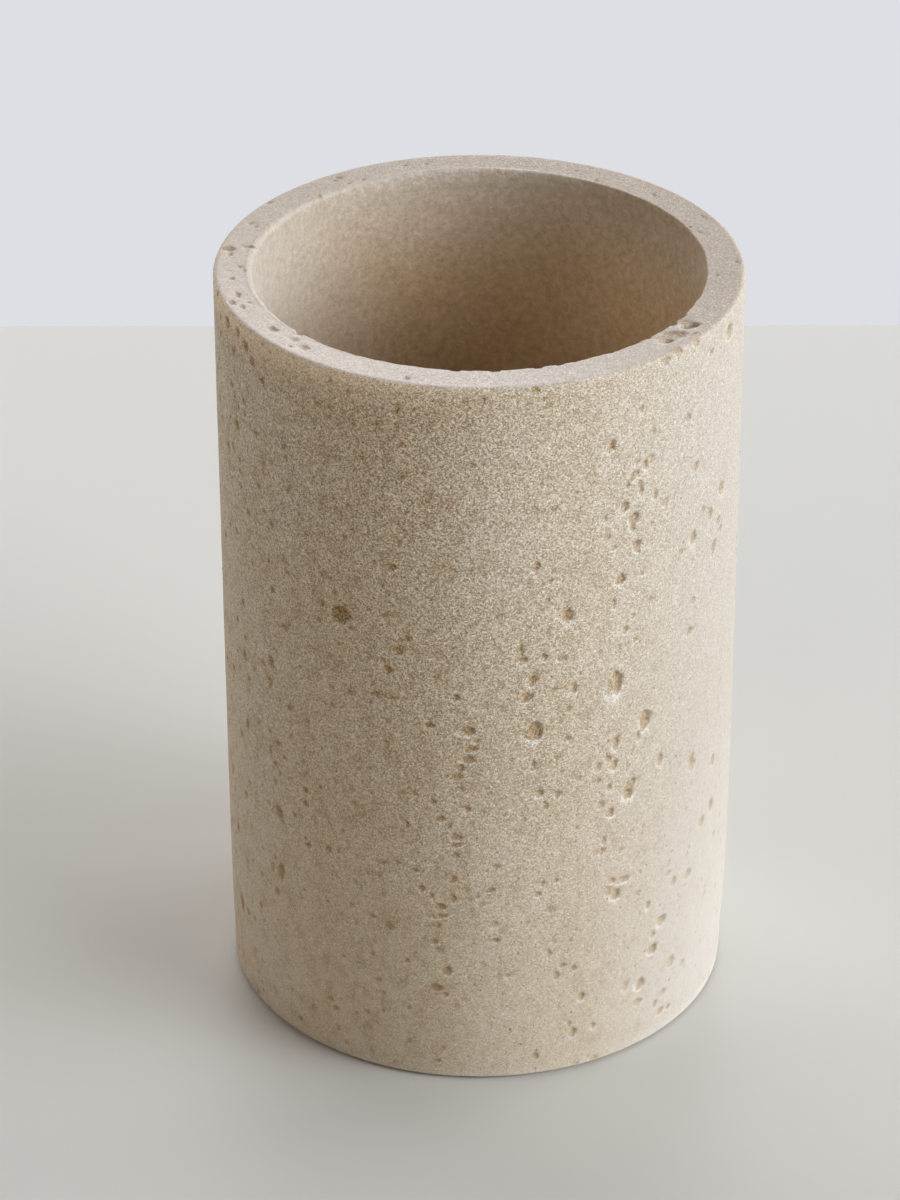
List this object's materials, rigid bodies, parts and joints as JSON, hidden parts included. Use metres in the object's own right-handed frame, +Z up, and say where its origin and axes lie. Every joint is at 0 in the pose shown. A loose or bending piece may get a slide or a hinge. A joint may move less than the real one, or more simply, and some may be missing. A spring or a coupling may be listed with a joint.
{
  "type": "bathroom tumbler",
  "caption": "Straight round bathroom tumbler of cast sand and resin with a thick flat rim, a pitted stone-like outside, a smooth cavity and a foam pad under its foot.",
  "frame": {"origin": "centre of the foam pad's underside, on the surface that the tumbler stands on", "axes": "+Z up along the cup's axis; -Y towards the viewer of the picture"},
  "size_m": [0.075, 0.075, 0.1145],
  "materials": {
    "cast_stone": "honed matte cast sand and resin with open pits",
    "adhesive_film": "thin double-sided tape, satin",
    "foam_pad": "fine closed-cell foam, matte"
  },
  "bodies": {
    "root": {"tumbler_body": "cast_stone", "pad_adhesive": "adhesive_film", "base_pad": "foam_pad"}
  },
  "joints": []
}
